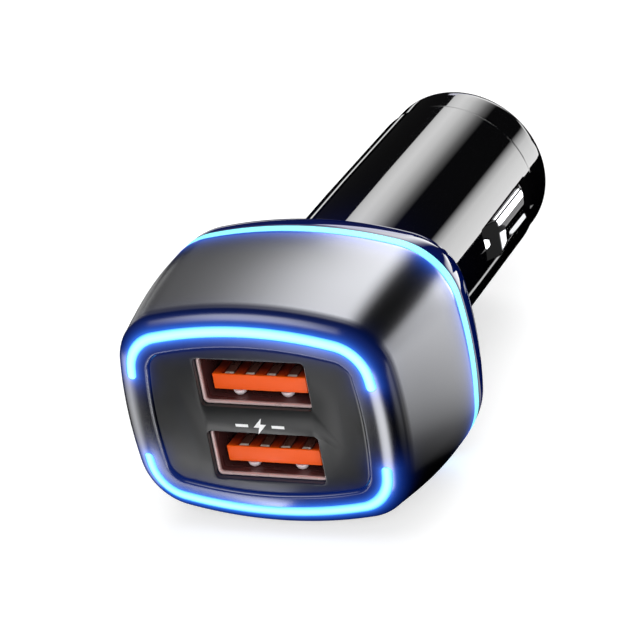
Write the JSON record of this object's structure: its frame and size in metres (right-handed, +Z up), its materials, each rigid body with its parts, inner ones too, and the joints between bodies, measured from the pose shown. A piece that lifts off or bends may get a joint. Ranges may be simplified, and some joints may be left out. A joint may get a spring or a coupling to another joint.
{
  "type": "car usb charger plug",
  "caption": "Car socket plug with a rounded metal head, stacked charging ports, glowing light strips, side contacts and a sprung tip contact.",
  "frame": {"origin": "on the plug body's axis, at the seating face where the body leaves the head", "axes": "+Y along the plug body towards its tip, +X to the right of the ports seen from the front, +Z up"},
  "size_m": [0.0358, 0.0668, 0.0286],
  "materials": {
    "gunmetal_shell": "dark grey anodised alloy, satin gloss",
    "charcoal_panel": "fine matt moulded plastic",
    "front_light": "clear light guide, lit cyan white",
    "rear_light": "clear light guide, lit blue",
    "gloss_black": "polished black plastic",
    "bright_contact": "nickel plated",
    "spring_steel": "drawn wire",
    "port_steel": "nickel plated sheet",
    "orange_plastic": "smooth moulded plastic",
    "gold_plate": "gold flash",
    "brass_sheet": "bright sheet",
    "board_green": "solder mask",
    "ferrite": "sintered",
    "copper_wire": "enamelled wire",
    "blue_sleeve": "shrink sleeve",
    "capacitor_can": "drawn can",
    "chip_black": "moulding compound",
    "chip_tan": "ceramic",
    "lamp_white": "clear cap"
  },
  "bodies": {
    "charger": {"head_shell": "gunmetal_shell", "face_panel": "charcoal_panel", "front_light_guide": "front_light", "rear_light_guide": "rear_light", "rear_cover": "gloss_black", "barrel": "gloss_black", "nose_cap": "gloss_black", "tip_spring": "spring_steel", "tip_terminal": "brass_sheet", "side_spring_left": "spring_steel", "side_spring_right": "spring_steel", "ground_bracket": "brass_sheet", "port_board": "board_green", "main_board": "board_green", "usb_shell_upper": "port_steel", "usb_shell_lower": "port_steel", "usb_tongue_upper": "orange_plastic", "usb_tongue_lower": "orange_plastic", "usb_contacts_upper": "gold_plate", "usb_contacts_lower": "gold_plate", "inductor_core": "ferrite", "inductor_winding": "copper_wire", "input_capacitor": "blue_sleeve", "output_capacitor": "capacitor_can", "converter_chip": "chip_black", "port_chip": "chip_black", "rectifier_diode": "chip_black", "small_passives": "chip_tan", "front_leds": "lamp_white", "rear_leds": "lamp_white"},
    "tip": {"tip_contact": "bright_contact"},
    "contact_left": {"side_contact_left": "bright_contact"},
    "contact_right": {"side_contact_right": "bright_contact"}
  },
  "joints": [
    {"name": "tip_press", "type": "slide", "parent": "charger", "child": "tip", "axis": [0, -1, 0], "range_m": [0, 0.0025], "stiffness_N_per_m": 1500, "springref_m": -0.001, "deforming": ["tip_spring"]},
    {"name": "contact_left_press", "type": "slide", "parent": "charger", "child": "contact_left", "axis": [1, 0, 0], "range_m": [0, 0.0013], "stiffness_N_per_m": 2500, "springref_m": -0.0006, "deforming": ["side_spring_left"]},
    {"name": "contact_right_press", "type": "slide", "parent": "charger", "child": "contact_right", "axis": [-1, 0, 0], "range_m": [0, 0.0013], "stiffness_N_per_m": 2500, "springref_m": -0.0006, "deforming": ["side_spring_right"]}
  ]
}
